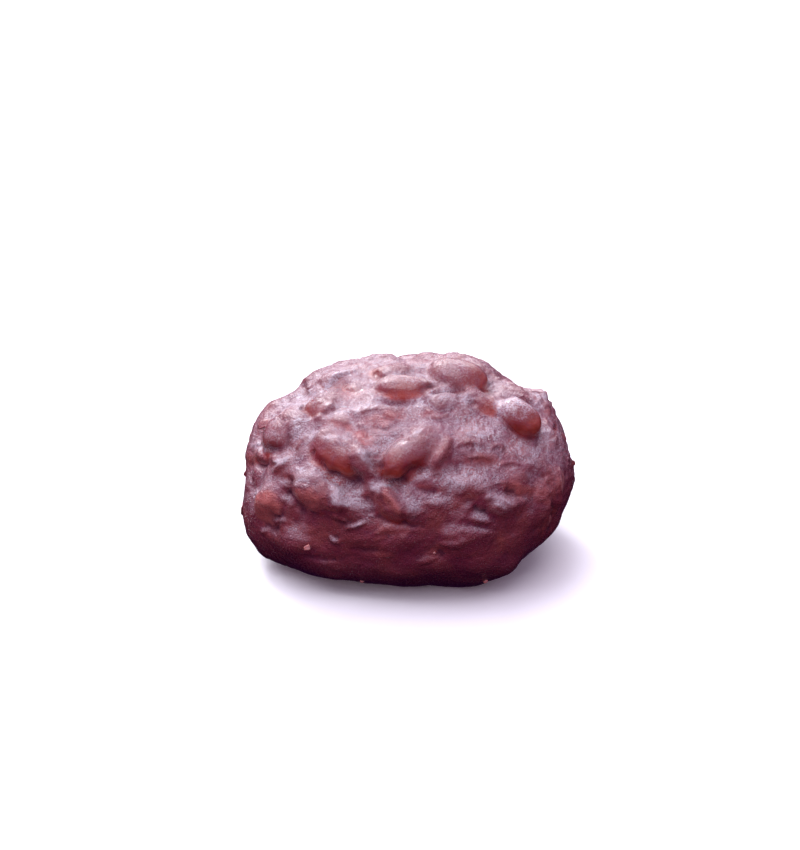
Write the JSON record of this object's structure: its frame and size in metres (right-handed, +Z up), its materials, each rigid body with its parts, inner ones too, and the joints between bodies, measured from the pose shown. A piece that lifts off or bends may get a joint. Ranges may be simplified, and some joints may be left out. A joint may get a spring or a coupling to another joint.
{
  "type": "botamochi",
  "caption": "Oval sticky-rice sweet coated in chunky sweet red bean paste, with whole beans standing out of the lumpy coat and a flat settled foot.",
  "frame": {"origin": "middle of the bounding box on the plane that the flat foot rests on", "axes": "+X along the oval's length, to the right as the picture shows it; +Y across the oval, away from the viewer; +Z up, out of the flat foot"},
  "size_m": [0.065, 0.05, 0.0396],
  "materials": {
    "bean_paste": "moist, sticky, dark red-brown bean paste with a soft uneven sheen",
    "bean_skin": "smooth, translucent, glossy red-brown bean skin"
  },
  "bodies": {
    "root": {"botamochi": "bean_paste"}
  },
  "joints": []
}
